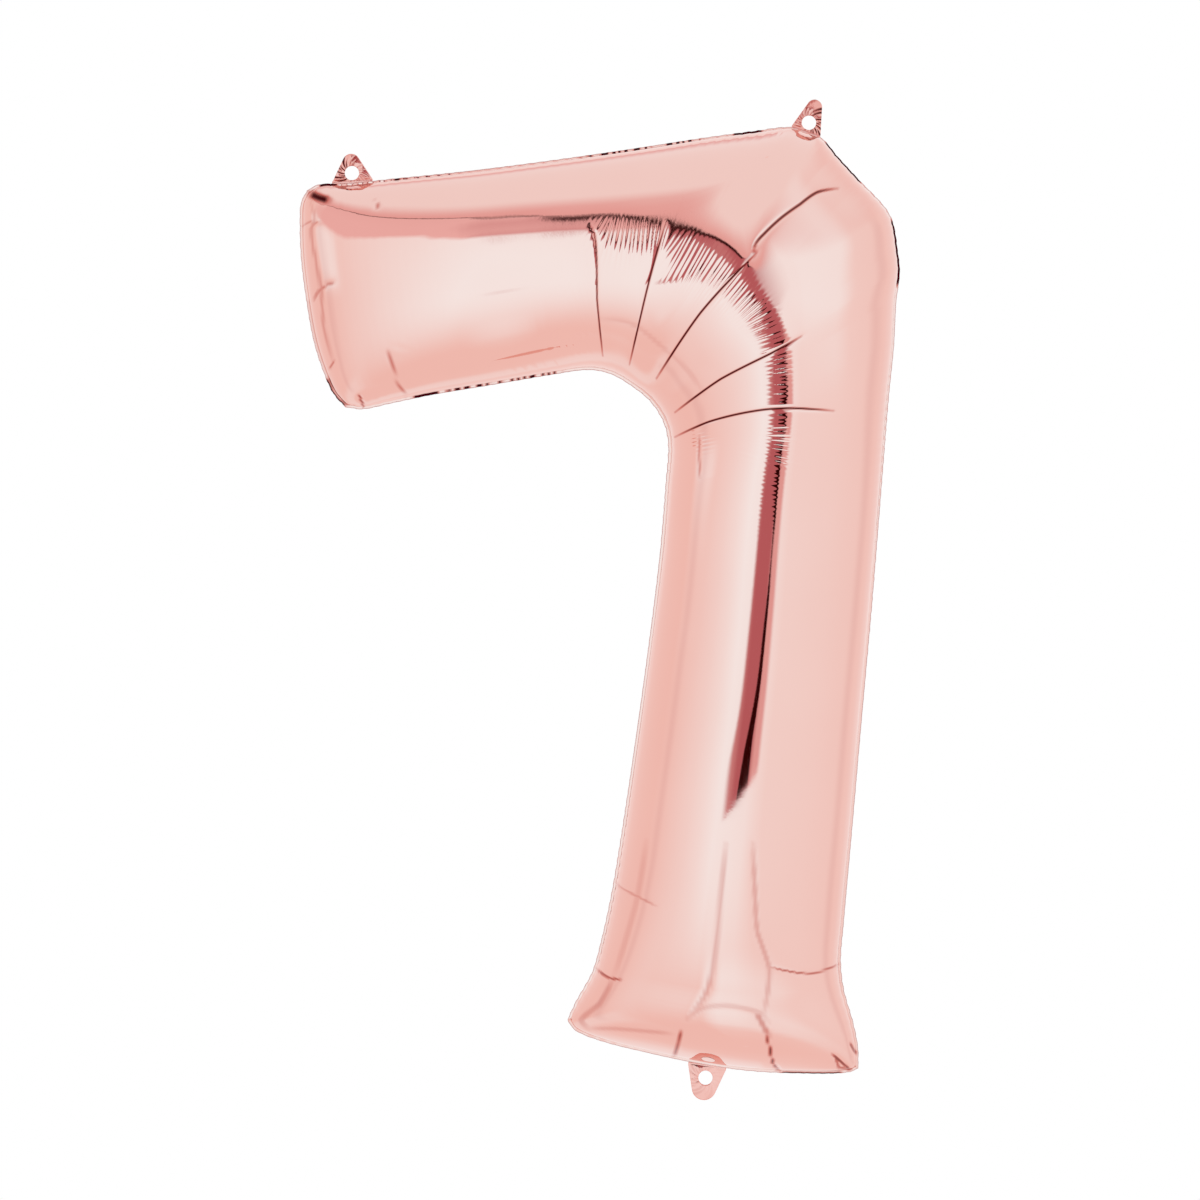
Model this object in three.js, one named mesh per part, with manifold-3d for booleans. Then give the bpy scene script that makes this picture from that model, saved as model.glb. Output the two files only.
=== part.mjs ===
// A foil number balloon in the shape of the digit seven, inflated, 864 mm from tab tip to tab tip.
//
// Two die-cut foil sheets are heat-sealed together round their rim, and gas bulges them apart. Each
// carries half of two hanging tabs and of the inflation tail, every one with a punched hole. Inside,
// over the tail, two thin plastic films lie face to face as the one-way valve that gas pressure shuts.
//
// Millimetres, +Z up. The digit lies in the XZ plane and is read from -Y. The origin is the centre of
// the hole in the upper right tab, in the seam plane.

import * as THREE from "three";
import { mergeVertices } from "three/addons/utils/BufferGeometryUtils.js";
import Module from "manifold-3d";

// Driving dimensions
const FOIL = 0.5; // thickness of one foil sheet
const WELD = 0.9; // thickness of the fused sealant between the sheets
const CONTACT_GAP = 0.05; // between pieces that are bonded face to face
const SEAL_WIDTH = 5; // width of the flat sealed rim
const FULLNESS = 0.92; // depth of the stroke over its width: 1 is a round tube
const RIM_CLEARANCE = 1.2; // from the rim to the fold line of a tab
const HOLE_RADIUS = 6.2;

// Each tab stands on the rim at a point [x, z] and leans by an angle in degrees. Its height and the
// height of its hole are measured from there. Straight sides run into a round tip.
const UPPER_LEFT_TAB = { at: [-394, -51.3], angle: 4, halfBase: 17.6, height: 24.5, tip: 7.5, hole: 7.9 };
const HANG_HOLE_HEIGHT = 8.2;
const HANG_LEAN = -19.5;
const UPPER_RIGHT_TAB = {
  at: [
    HANG_HOLE_HEIGHT * Math.sin(THREE.MathUtils.degToRad(HANG_LEAN)),
    -HANG_HOLE_HEIGHT * Math.cos(THREE.MathUtils.degToRad(HANG_LEAN)),
  ],
  angle: HANG_LEAN,
  halfBase: 13,
  height: 29,
  tip: 6.5,
  hole: HANG_HOLE_HEIGHT,
};
const TAIL = { at: [-87.8, -813.8], angle: 171.5, halfBase: 16.5, height: 30, tip: 10.5, hole: 10.6 };

// The two films of the valve run from the tail's hole through the seal into the balloon. They lie
// between the foil plies in the tail and in the seal, and hang free above it.
const FILM = 0.3;
const FILM_GAP = 0.24; // between the two films
const PASSAGE_WIDTH = 18; // of the channel that the filling nozzle enters
const LINER_LENGTH = 21; // of the films beyond the fold of the tail
const VALVE_START = 7.5; // from the rim to the line that the free films hang from
const VALVE_WIDTH = 46;
const VALVE_LENGTH = 125;
const RELEASE_PRINT = 0.1; // thickness of the print that keeps the films from sealing together
const PIECE_GAP = 0.3; // between pieces side by side

// The rim as four sides, each [x, z]: the long outer side runs from the upper left corner over the top
// and down the back of the stem, and the inner side from the stem's foot up round the crook.
const OUTER_SIDE = [
  [-433, -59], [-424, -54], [-400, -53], [-361, -49], [-293, -42], [-215, -32], [-146, -22], [-94, -14],
  [-42, -7], [-15, -4.3], [-2, -8.6], [10, -13], [23, -28], [46, -53], [65, -73], [72, -86],
  [76, -110], [78, -129], [75, -153], [73, -192], [69, -231], [62, -317], [54, -416],
  [45, -516], [36, -619], [29, -697], [27, -724], [30, -750], [37, -774], [42, -799], [42, -816],
];
const FOOT_END = [
  [42, -816], [35, -819], [-8, -820], [-51, -818], [-94, -812], [-145, -801], [-180, -792], [-203, -782],
  [-208, -774],
];
const INNER_SIDE = [
  [-208, -774], [-200, -757], [-187, -734], [-180, -710], [-172, -675], [-165, -636], [-150, -537],
  [-137, -443], [-128, -369], [-123, -308], [-121, -281], [-123, -265], [-129, -251], [-139, -238],
  [-153, -227], [-170, -217], [-189, -213], [-215, -216], [-274, -226], [-328, -235], [-366, -243],
  [-386, -247], [-400, -245],
];
const ARM_END = [
  [-400, -245], [-410, -234], [-419, -214], [-427, -189], [-433, -156], [-438, -117], [-439, -86],
  [-438, -69], [-433, -59],
];

// Ribs cross the stroke from the outer to the inner side. Each pair is a rib's [outer, inner] place as a
// share of that side's length, measured from the arm's end.
const RIB_PAIRS = [
  [0, 0], [0.11, 0.16], [0.172, 0.25], [0.217, 0.277], [0.259, 0.303], [0.331, 0.326], [0.445, 0.357],
  [0.54, 0.386], [0.614, 0.479], [0.76, 0.69], [1, 1],
];
// Runs of evenly spaced ribs along the stroke, each [share where it ends, number of ribs]: close
// together at both ends and round the crook.
const RIB_RUNS = [[0.05, 4], [0.215, 4], [0.5, 15], [0.88, 9], [1, 7]];
const ROWS = 12; // quads across the stroke

const foil = new THREE.MeshStandardMaterial({ color: 0xefb8a8, metalness: 1, roughness: 0.12 });
const film = new THREE.MeshStandardMaterial({ color: 0xe8ecee, metalness: 0, roughness: 0.35 });
const sealant = new THREE.MeshStandardMaterial({ color: 0xe9c9bf, metalness: 0, roughness: 0.4 });
const ink = new THREE.MeshStandardMaterial({ color: 0xf2f2ee, metalness: 0, roughness: 0.8 });

const wasm = await Module();
wasm.setup();

// ---- The rim and the patch inside it ----

const lerp = (a, b, t) => a + (b - a) * t;

function sideCurve(points) {
  const curve = new THREE.CatmullRomCurve3(
    points.map(([x, z]) => new THREE.Vector3(x, 0, z)),
    false,
    "centripetal",
  );
  curve.arcLengthDivisions = 2000;
  return curve;
}

function innerShare(outerShare) {
  const k = Math.max(1, RIB_PAIRS.findIndex(([outer]) => outer >= outerShare));
  const [a0, b0] = RIB_PAIRS[k - 1];
  const [a1, b1] = RIB_PAIRS[k];
  return lerp(b0, b1, (outerShare - a0) / (a1 - a0));
}

// Rows lie closer together towards the rim, where the bulge is steepest.
const rowShare = (j) => (1 - Math.cos((Math.PI * j) / ROWS)) / 2;

// The outer shares of all the ribs, from 0 to 1.
const RIB_SHARES = RIB_RUNS.reduce(
  (shares, [end, count]) => {
    const start = shares.at(-1);
    for (let k = 1; k <= count; k++) shares.push(lerp(start, end, k / count));
    return shares;
  },
  [0],
);

// The closed rim, in order: outer side, foot end, inner side, arm end.
function rimLoop() {
  const outer = sideCurve(OUTER_SIDE);
  const foot = sideCurve(FOOT_END);
  const inner = sideCurve(INNER_SIDE);
  const arm = sideCurve(ARM_END);
  const last = RIB_SHARES.length - 1;
  const loop = [];
  for (let i = 0; i < last; i++) loop.push(outer.getPointAt(RIB_SHARES[i]));
  for (let j = 0; j < ROWS; j++) loop.push(foot.getPointAt(rowShare(j)));
  for (let i = last; i > 0; i--) loop.push(inner.getPointAt(1 - innerShare(RIB_SHARES[i])));
  for (let j = 0; j < ROWS; j++) loop.push(arm.getPointAt(rowShare(j)));
  return loop;
}

// The loop moved inwards by a distance. It runs clockwise as seen from -Y, so inwards is to its right.
function inset(loop, distance) {
  return loop.map((point, k) => {
    const before = loop[(k + loop.length - 1) % loop.length];
    const after = loop[(k + 1) % loop.length];
    const along = after.clone().sub(before).normalize();
    return new THREE.Vector3(point.x + along.z * distance, 0, point.z - along.x * distance);
  });
}

// Place of grid point (column i, row j) of the patch's border in the loop.
function loopIndex(i, j) {
  const columns = RIB_SHARES.length - 1;
  if (j === ROWS) return i;
  if (i === columns) return columns + (ROWS - j);
  if (j === 0) return columns + ROWS + (columns - i);
  return 2 * columns + ROWS + j;
}

// A Coons patch over the loop, as grid[i][j]: column i crosses the stroke from inner (j = 0) to outer.
function patchGrid(loop) {
  const columns = RIB_SHARES.length - 1;
  const at = (i, j) => loop[loopIndex(i, j)];
  return RIB_SHARES.map((s, i) =>
    Array.from({ length: ROWS + 1 }, (_, j) => {
      const v = rowShare(j);
      const across = at(i, 0).clone().lerp(at(i, ROWS), v);
      const along = at(0, j).clone().lerp(at(columns, j), s);
      const armCorners = at(0, 0).clone().lerp(at(0, ROWS), v);
      const footCorners = at(columns, 0).clone().lerp(at(columns, ROWS), v);
      return across.add(along).sub(armCorners.lerp(footCorners, s));
    }),
  );
}

// ---- Inflation ----

function gridTriangles(columns) {
  const id = (i, j) => i * (ROWS + 1) + j;
  const triangles = [];
  for (let i = 0; i < columns; i++)
    for (let j = 0; j < ROWS; j++) {
      triangles.push([id(i, j), id(i + 1, j), id(i + 1, j + 1)]);
      triangles.push([id(i, j), id(i + 1, j + 1), id(i, j + 1)]);
    }
  return triangles;
}

// Solves laplacian(phi) = -1 with phi = 0 on the rim, by relaxation with cotangent weights.
function pressurePotential(points, triangles, fixed) {
  const RELAXATION = 1.7;
  const SWEEPS = 400;
  const links = points.map(() => new Map());
  const area = points.map(() => 0);
  const link = (a, b, w) => {
    links[a].set(b, (links[a].get(b) ?? 0) + w);
    links[b].set(a, (links[b].get(a) ?? 0) + w);
  };
  for (const t of triangles) {
    const [a, b, c] = t.map((k) => points[k]);
    const doubled = b.clone().sub(a).cross(c.clone().sub(a)).length();
    for (let k = 0; k < 3; k++) {
      const [corner, p, q] = [t[k], t[(k + 1) % 3], t[(k + 2) % 3]];
      const dot = points[p].clone().sub(points[corner]).dot(points[q].clone().sub(points[corner]));
      link(p, q, dot / doubled / 2);
      area[corner] += doubled / 6;
    }
  }
  const phi = points.map(() => 0);
  for (let sweep = 0; sweep < SWEEPS; sweep++)
    for (let k = 0; k < points.length; k++) {
      if (fixed[k]) continue;
      let weight = 0;
      let sum = area[k];
      for (const [other, w] of links[k]) {
        weight += w;
        sum += w * phi[other];
      }
      phi[k] = lerp(phi[k], sum / weight, RELAXATION);
    }
  return phi;
}

// ---- Solids ----

function geometryOf(vertices, triangles) {
  const geometry = new THREE.BufferGeometry();
  const positions = vertices.flatMap((v) => [v.x, v.y, v.z]);
  geometry.setAttribute("position", new THREE.Float32BufferAttribute(positions, 3));
  geometry.setIndex(triangles.flat());
  geometry.computeVertexNormals();
  return geometry;
}

// The front sheet: a bulged shell inside the seal line, and the flat sealed rim round it.
function sheetGeometry() {
  const columns = RIB_SHARES.length - 1;
  const rim = rimLoop();
  const grid = patchGrid(inset(rim, SEAL_WIDTH));
  const flat = grid.flat();
  const triangles = gridTriangles(columns);
  const onBorder = (i, j) => i === 0 || i === columns || j === 0 || j === ROWS;
  const loopPlace = grid.flatMap((rib, i) => rib.map((_, j) => (onBorder(i, j) ? loopIndex(i, j) : -1)));
  const phi = pressurePotential(flat, triangles, loopPlace.map((place) => place >= 0));
  const back = -(WELD / 2 + CONTACT_GAP); // y of the sheet's bonded face
  const bulge = phi.map((value) => FULLNESS * Math.sqrt(2 * value));
  const outside = flat.map((p, k) => new THREE.Vector3(p.x, back - FOIL - bulge[k], p.z));
  const normals = geometryOf(outside, triangles).getAttribute("normal");
  const inner = inset(rim, SEAL_WIDTH + FOIL);
  const inside = outside.map((p, k) => {
    const seam = inner[loopPlace[k]];
    if (seam) return new THREE.Vector3(seam.x, back, seam.z);
    return p.clone().addScaledVector(new THREE.Vector3().fromBufferAttribute(normals, k), -FOIL);
  });

  const rimOutside = rim.map((p) => new THREE.Vector3(p.x, back - FOIL, p.z));
  const rimInside = rim.map((p) => new THREE.Vector3(p.x, back, p.z));
  const vertices = [...outside, ...inside, ...rimOutside, ...rimInside];
  const insideAt = outside.length;
  const rimOutsideAt = 2 * outside.length;
  const rimInsideAt = rimOutsideAt + rim.length;
  const faces = [...triangles, ...triangles.map(([a, b, c]) => [a + insideAt, c + insideAt, b + insideAt])];
  const sealIds = rim.map((_, place) => loopPlace.indexOf(place));
  const quad = (a, b, c, d) => faces.push([a, b, c], [a, c, d]);
  for (let k = 0; k < rim.length; k++) {
    const next = (k + 1) % rim.length;
    const [s0, s1] = [sealIds[k], sealIds[next]];
    quad(s0, s1, rimOutsideAt + next, rimOutsideAt + k);
    quad(insideAt + s0, rimInsideAt + k, rimInsideAt + next, insideAt + s1);
    quad(rimOutsideAt + k, rimOutsideAt + next, rimInsideAt + next, rimInsideAt + k);
  }
  return geometryOf(vertices, faces);
}

function solidOf(geometry) {
  const bare = geometry.clone();
  bare.deleteAttribute("normal");
  bare.deleteAttribute("uv");
  const merged = mergeVertices(bare, 1e-4);
  const vertProperties = merged.getAttribute("position").array;
  return new wasm.Manifold(
    new wasm.Mesh({ numProp: 3, vertProperties, triVerts: new Uint32Array(merged.index.array) }),
  );
}

function geometryFrom(solid) {
  const mesh = solid.getMesh();
  const geometry = new THREE.BufferGeometry();
  geometry.setAttribute("position", new THREE.BufferAttribute(mesh.vertProperties, 3));
  geometry.setIndex(new THREE.BufferAttribute(mesh.triVerts, 1));
  geometry.computeVertexNormals();
  return geometry;
}

// The fused sealant: a flat band round the rim, left open over the tail so that gas can enter.
function weldGeometry() {
  const rim = rimLoop();
  const seal = inset(rim, SEAL_WIDTH);
  const level = (loop, y) => loop.map((p) => new THREE.Vector3(p.x, y, p.z));
  const vertices = [
    ...level(rim, -WELD / 2), ...level(seal, -WELD / 2), ...level(seal, WELD / 2), ...level(rim, WELD / 2),
  ];
  const faces = [];
  for (let k = 0; k < rim.length; k++)
    for (let side = 0; side < 4; side++) {
      const next = (k + 1) % rim.length;
      const [here, there] = [side * rim.length, ((side + 1) % 4) * rim.length];
      faces.push([here + k, there + k, there + next], [here + k, there + next, here + next]);
    }
  const slot = new THREE.BoxGeometry(PASSAGE_WIDTH + 2 * PIECE_GAP, 4 * WELD, 4 * SEAL_WIDTH);
  const frame = tabFrame(TAIL);
  frame.updateMatrixWorld();
  slot.applyMatrix4(frame.matrixWorld);
  return geometryFrom(solidOf(geometryOf(vertices, faces)).subtract(solidOf(slot)));
}

// Outline of a tab in its own plane, with the fold line along x at y = 0.
function tabOutline({ halfBase, height, tip }) {
  const middle = height - RIM_CLEARANCE - tip;
  const reach = Math.hypot(halfBase, middle);
  const tangent = Math.acos(tip / reach) - Math.atan2(middle, halfBase);
  const shape = new THREE.Shape();
  shape.moveTo(-halfBase, 0);
  shape.lineTo(halfBase, 0);
  shape.absarc(0, middle, tip, tangent, Math.PI - tangent, false);
  shape.closePath();
  return shape;
}

function punch(shape, { hole }) {
  shape.holes.push(new THREE.Path().absarc(0, hole - RIM_CLEARANCE, HOLE_RADIUS, 0, 2 * Math.PI));
  return shape;
}

// A flat piece standing in the digit's plane, as a mesh that fills from y = near to y = near + depth.
function flatPiece(name, shape, near, depth, material) {
  const geometry = new THREE.ExtrudeGeometry(shape, { depth, bevelEnabled: false, curveSegments: 9 });
  const mesh = new THREE.Mesh(geometry, material);
  mesh.name = name;
  mesh.rotation.x = Math.PI / 2;
  mesh.position.y = near + depth;
  return mesh;
}

// The same flat piece twice, at the same distance in front of the seam plane and behind it.
function flatPair(name, suffix, shape, distance, depth, material) {
  return [
    flatPiece(`${name}_front${suffix}`, shape, -distance - depth, depth, material),
    flatPiece(`${name}_back${suffix}`, shape, distance, depth, material),
  ];
}

// A group whose x axis lies along the rim at a tab and whose z axis points out of the rim.
function tabFrame({ at, angle }, outwards = 0) {
  const frame = new THREE.Group();
  const turn = THREE.MathUtils.degToRad(-angle);
  frame.rotation.y = turn;
  frame.position.set(at[0] + Math.sin(turn) * outwards, 0, at[1] + Math.cos(turn) * outwards);
  return frame;
}

function hangingTab(name, tab) {
  const frame = tabFrame(tab, RIM_CLEARANCE);
  const shape = punch(tabOutline(tab), tab);
  frame.add(...flatPair(name, "_ply", shape, WELD / 2 + CONTACT_GAP, FOIL, foil));
  frame.add(flatPiece(`${name}_weld`, shape, -WELD / 2, WELD, sealant));
  return frame;
}

// A rectangle with its far corners rounded.
function strip(halfWidth, length, corner) {
  const shape = new THREE.Shape();
  shape.moveTo(-halfWidth, 0);
  shape.lineTo(halfWidth, 0);
  shape.absarc(halfWidth - corner, length - corner, corner, 0, Math.PI / 2, false);
  shape.absarc(-halfWidth + corner, length - corner, corner, Math.PI / 2, Math.PI, false);
  shape.closePath();
  return shape;
}

// The part of the tail's weld on one side of the passage: side is 1 or -1 along x.
function tailWeld(name, side) {
  const piece = flatPiece(name, tabOutline(TAIL), -WELD / 2, WELD, sealant);
  piece.updateMatrix();
  const size = 2 * TAIL.height;
  const half = new THREE.BoxGeometry(size, size, 2 * size);
  half.translate(side * (size / 2 + PASSAGE_WIDTH / 2 + PIECE_GAP), 0, 0);
  const whole = solidOf(piece.geometry.applyMatrix4(piece.matrix));
  const mesh = new THREE.Mesh(geometryFrom(whole.intersect(solidOf(half))), sealant);
  mesh.name = name;
  return mesh;
}

// The tail is a tab that is sealed along its sides only, with the outer ends of the valve films inside.
function inflationTail() {
  const frame = tabFrame(TAIL, RIM_CLEARANCE);
  const outline = punch(tabOutline(TAIL), TAIL);
  frame.add(...flatPair("tail", "_ply", outline, WELD / 2 + CONTACT_GAP, FOIL, foil));
  frame.add(tailWeld("tail_weld_left", 1), tailWeld("tail_weld_right", -1));
  const liner = punch(strip(PASSAGE_WIDTH / 2, LINER_LENGTH, 5), TAIL);
  frame.add(...flatPair("tail_film", "", liner, FILM_GAP / 2, FILM, film));
  return frame;
}

// The films where they pass between the foil sheets at the seal, with the print between them.
function valveNeck() {
  const frame = tabFrame({ ...TAIL, angle: TAIL.angle - 180 });
  const length = VALVE_START - 2 * PIECE_GAP;
  const neck = new THREE.Group();
  neck.position.z = PIECE_GAP;
  neck.add(...flatPair("valve_neck", "", strip(PASSAGE_WIDTH / 2, length, 0.5), FILM_GAP / 2, FILM, film));
  const print = strip(PASSAGE_WIDTH / 2 - 2, length, 0.5);
  neck.add(flatPiece("valve_release_print", print, -RELEASE_PRINT / 2, RELEASE_PRINT, ink));
  frame.add(neck);
  return frame;
}

// The free films hang face to face inside the balloon, where gas pressure holds them together.
function valve() {
  const frame = tabFrame({ ...TAIL, angle: TAIL.angle - 180 }, VALVE_START);
  const flare = 34; // length over which a film widens from the passage to its full width
  const corner = 8;
  const [half, mouth] = [VALVE_WIDTH / 2, PASSAGE_WIDTH / 2];
  const shape = new THREE.Shape();
  shape.moveTo(-mouth, 0);
  shape.lineTo(mouth, 0);
  shape.bezierCurveTo(mouth, flare / 3, half, (flare * 2) / 3, half, flare);
  shape.absarc(half - corner, VALVE_LENGTH - corner, corner, 0, Math.PI / 2, false);
  shape.absarc(-half + corner, VALVE_LENGTH - corner, corner, Math.PI / 2, Math.PI, false);
  shape.lineTo(-half, flare);
  shape.bezierCurveTo(-half, (flare * 2) / 3, -mouth, flare / 3, -mouth, 0);
  frame.add(...flatPair("valve_film", "", shape, FILM_GAP / 2, FILM, film));
  return frame;
}

function envelope() {
  const group = new THREE.Group();
  const front = new THREE.Mesh(sheetGeometry(), foil);
  front.name = "front_foil_sheet";
  const back = new THREE.Mesh(front.geometry, foil);
  back.name = "back_foil_sheet";
  back.scale.y = -1;
  const weld = new THREE.Mesh(weldGeometry(), sealant);
  weld.name = "edge_weld";
  group.add(front, back, weld);
  return group;
}

const balloon = new THREE.Group();
balloon.name = "foil_number_balloon";
balloon.add(
  envelope(),
  hangingTab("upper_left_tab", UPPER_LEFT_TAB),
  hangingTab("upper_right_tab", UPPER_RIGHT_TAB),
  inflationTail(),
  valveNeck(),
  valve(),
);

export default balloon;
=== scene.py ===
"""The looks of the foil number balloon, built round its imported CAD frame.

The digit stands in the XZ plane and is read from -Y. The tables below are in millimetres, as in the CAD
source; meshes are made in metres, in the CAD's frame.
"""

import math

import bmesh
import bpy
import numpy as np
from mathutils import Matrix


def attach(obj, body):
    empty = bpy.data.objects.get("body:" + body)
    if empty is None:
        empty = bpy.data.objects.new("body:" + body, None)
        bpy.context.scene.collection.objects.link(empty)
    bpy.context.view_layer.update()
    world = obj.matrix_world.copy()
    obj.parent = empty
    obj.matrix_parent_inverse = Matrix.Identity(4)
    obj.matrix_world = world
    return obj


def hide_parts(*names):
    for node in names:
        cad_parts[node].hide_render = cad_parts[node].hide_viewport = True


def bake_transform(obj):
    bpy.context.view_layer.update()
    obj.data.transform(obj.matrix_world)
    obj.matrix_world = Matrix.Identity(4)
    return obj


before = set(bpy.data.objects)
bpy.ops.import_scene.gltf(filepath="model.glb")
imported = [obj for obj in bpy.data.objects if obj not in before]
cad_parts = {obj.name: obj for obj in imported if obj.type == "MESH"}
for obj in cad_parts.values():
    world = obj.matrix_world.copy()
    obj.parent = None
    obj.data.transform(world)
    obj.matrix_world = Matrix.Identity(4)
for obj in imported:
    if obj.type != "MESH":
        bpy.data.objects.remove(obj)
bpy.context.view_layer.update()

MM = 0.001

# ---- Outline of the digit, as four sides of [x, z] points ----

# The long outer side runs from the upper left corner over the top and down the back of the stem.
OUTER_SIDE = [
    (-433, -59), (-424, -54), (-400, -53), (-361, -49), (-293, -42), (-215, -32), (-146, -22),
    (-94, -14), (-42, -7), (-15, -4.3), (-2, -8.6), (10, -13), (23, -28), (46, -53), (65, -73),
    (72, -86), (76, -110), (78, -129), (75, -153), (73, -192), (69, -231), (62, -317), (54, -416),
    (45, -516), (36, -619), (29, -697), (27, -724), (30, -750), (37, -774), (42, -799), (42, -816),
]
# From right to left along the stem's foot.
FOOT_END = [
    (42, -816), (35, -819), (-8, -820), (-51, -818), (-94, -812), (-145, -801), (-180, -792),
    (-203, -782), (-208, -774),
]
# Up the front of the stem, round the crook and along the underside of the arm.
INNER_SIDE = [
    (-208, -774), (-200, -757), (-187, -734), (-180, -710), (-172, -675), (-165, -636), (-150, -537),
    (-137, -443), (-128, -369), (-123, -308), (-121, -281), (-123, -265), (-129, -251), (-139, -238),
    (-153, -227), (-170, -217), (-189, -213), (-215, -216), (-274, -226), (-328, -235), (-366, -243),
    (-386, -247), (-400, -245),
]
# Up the arm's free end.
ARM_END = [
    (-400, -245), (-410, -234), (-419, -214), (-427, -189), (-433, -156), (-438, -117), (-439, -86),
    (-438, -69), (-433, -59),
]

# Ribs cross the stroke from the outer to the inner side. Each pair is a rib's [outer, inner] place as a
# share of that side's length, measured from the arm's end.
RIB_PAIRS = [
    (0, 0), (0.11, 0.16), (0.172, 0.25), (0.217, 0.277), (0.259, 0.303), (0.331, 0.326), (0.445, 0.357),
    (0.54, 0.386), (0.614, 0.479), (0.76, 0.69), (1, 1),
]
# Runs of evenly spaced ribs, each [share where it ends, ribs]: closest where the crook ripples the foil.
RIB_RUNS = [(0.04, 24), (0.2, 70), (0.62, 510), (0.86, 90), (1, 110)]
ROWS = 120  # quads across the stroke
EASING = 40  # ribs to either side over which the elbow's ribs are evened out

# ---- Inflated shape ----

FULLNESS = 0.91  # depth of the stroke over its width: 1 is a round tube
SEAM_WIDTH = 1.7  # of the flat rim outside the bulge
SEAM_HALF = 0.40  # half the thickness of the sealed rim where the sheets part
RIM_HALF = 0.08  # and at its outer edge
SEAM_SWAY = 0.6  # share of the rim's sway that reaches the line where the bulge starts
CREST_SHIFT = 0.25  # how far the crest leans to the outer side in the crook
ARM_TAPER = 0.15  # share of its depth that the arm loses from the crook to its end
ARM_TAPER_END = 0.42  # share of the outer side where the arm has its full depth
FOOT_FULLNESS = 0.13  # extra share of depth just before the stem's foot

# Stretches of the stroke as shares of the outer side, each ((start, full), (ebb, end)).
CROOK = ((0.16, 0.34), (0.52, 0.68))
ELBOW = ((0.24, 0.3), (0.5, 0.58))
FOOT_SWELL = ((0.94, 0.985), (0.985, 1))


def smoothstep(low, high, value):
    t = np.clip((value - low) / (high - low), 0, 1)
    return t * t * (3 - 2 * t)


def hill(stretch, value):
    """1 between full and ebb, falling to 0 at the stretch's start and end."""
    (start, full), (ebb, end) = stretch
    return smoothstep(start, full, value) * (1 - smoothstep(ebb, end, value))


def smooth_curve(points, steps=60):
    """A centripetal Catmull-Rom curve through points, as many short chords."""
    p = np.array(points, float)
    knots = np.concatenate([[0], np.cumsum(np.sqrt(np.hypot(*np.diff(p, axis=0).T)))])
    p = np.vstack([2 * p[0] - p[1], p, 2 * p[-1] - p[-2]])
    knots = np.concatenate([[2 * knots[0] - knots[1]], knots, [2 * knots[-1] - knots[-2]]])
    pieces = []
    for k in range(1, len(p) - 2):
        t = np.linspace(knots[k], knots[k + 1], steps, endpoint=False)[:, None]
        level = list(p[k - 1 : k + 3])
        for width in (1, 2, 3):
            near = knots[k - 1 : k + 3 - width]
            far = knots[k - 1 + width : k + 3]
            level = [
                ((far[m] - t) * level[m] + (t - near[m]) * level[m + 1]) / (far[m] - near[m])
                for m in range(4 - width)
            ]
        pieces.append(level[0])
    pieces.append(p[-2][None])
    return np.vstack(pieces)


def along(curve, shares):
    """Points at shares of the curve's length."""
    length = np.concatenate([[0], np.cumsum(np.hypot(*np.diff(curve, axis=0).T))])
    length /= length[-1]
    return np.stack([np.interp(shares, length, curve[:, k]) for k in (0, 1)], -1)


def smoothed(values, reach):
    """values, a row of evenly spaced numbers, averaged over reach neighbours on each side."""
    window = np.hanning(2 * reach + 1)
    before = 2 * values[0] - values[reach:0:-1]
    after = 2 * values[-1] - values[-2 : -reach - 2 : -1]
    padded = np.concatenate([before, values, after])
    return np.convolve(padded, window / window.sum(), "valid")


def inner_shares(outer_shares):
    """Where ribs that start at the given places on the outer side end on the inner side."""
    even = np.linspace(0, 1, 2001)
    pairs = np.array(RIB_PAIRS)
    return np.interp(outer_shares, even, smoothed(np.interp(even, *pairs.T), 100))


def grid_shares():
    """Places of the ribs along the stroke, and of the rows across it, closer towards the rim."""
    u = [0.0]
    for end, count in RIB_RUNS:
        u.extend(np.linspace(u[-1], end, count + 1)[1:])
    even = np.arange(ROWS + 1) / ROWS
    return np.array(u), 0.25 * even + 0.375 * (1 - np.cos(np.pi * even))


def rim_loop(u, v):
    """The closed rim, clockwise as seen from -Y: outer side, foot, inner side, arm's end."""
    return np.vstack([
        along(smooth_curve(OUTER_SIDE), u[:-1]),
        along(smooth_curve(FOOT_END), v[:-1]),
        along(smooth_curve(INNER_SIDE), 1 - inner_shares(u[:0:-1])),
        along(smooth_curve(ARM_END), v[:-1]),
    ])


def loop_tangents(loop):
    step = np.roll(loop, -1, axis=0) - np.roll(loop, 1, axis=0)
    return step / np.hypot(*step.T)[:, None]


def inset(loop, distance):
    t = loop_tangents(loop)
    return loop + distance * np.stack([t[:, 1], -t[:, 0]], -1)


def border_places(n, m):
    """Grid places (i, j) of the border in the loop's order, for n ribs of m points."""
    outer = [(i, m - 1) for i in range(n - 1)]
    foot = [(n - 1, j) for j in range(m - 1, 0, -1)]
    inner = [(i, 0) for i in range(n - 1, 0, -1)]
    arm = [(0, j) for j in range(m - 1)]
    return np.array(outer + foot + inner + arm)


def patch(loop, u, v):
    """A Coons patch over the loop, as points [rib, row, xz]."""
    n, m = len(u), len(v)
    places = border_places(n, m)
    grid = np.zeros((n, m, 2))
    grid[places[:, 0], places[:, 1]] = loop
    a, b = u[:, None, None], v[None, :, None]
    across = (1 - b) * grid[:, :1] + b * grid[:, -1:]
    lengthways = (1 - a) * grid[:1] + a * grid[-1:]
    arm_corners = (1 - b) * grid[0, 0] + b * grid[0, -1]
    foot_corners = (1 - b) * grid[-1, 0] + b * grid[-1, -1]
    return across + lengthways - (1 - a) * arm_corners - a * foot_corners


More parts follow.
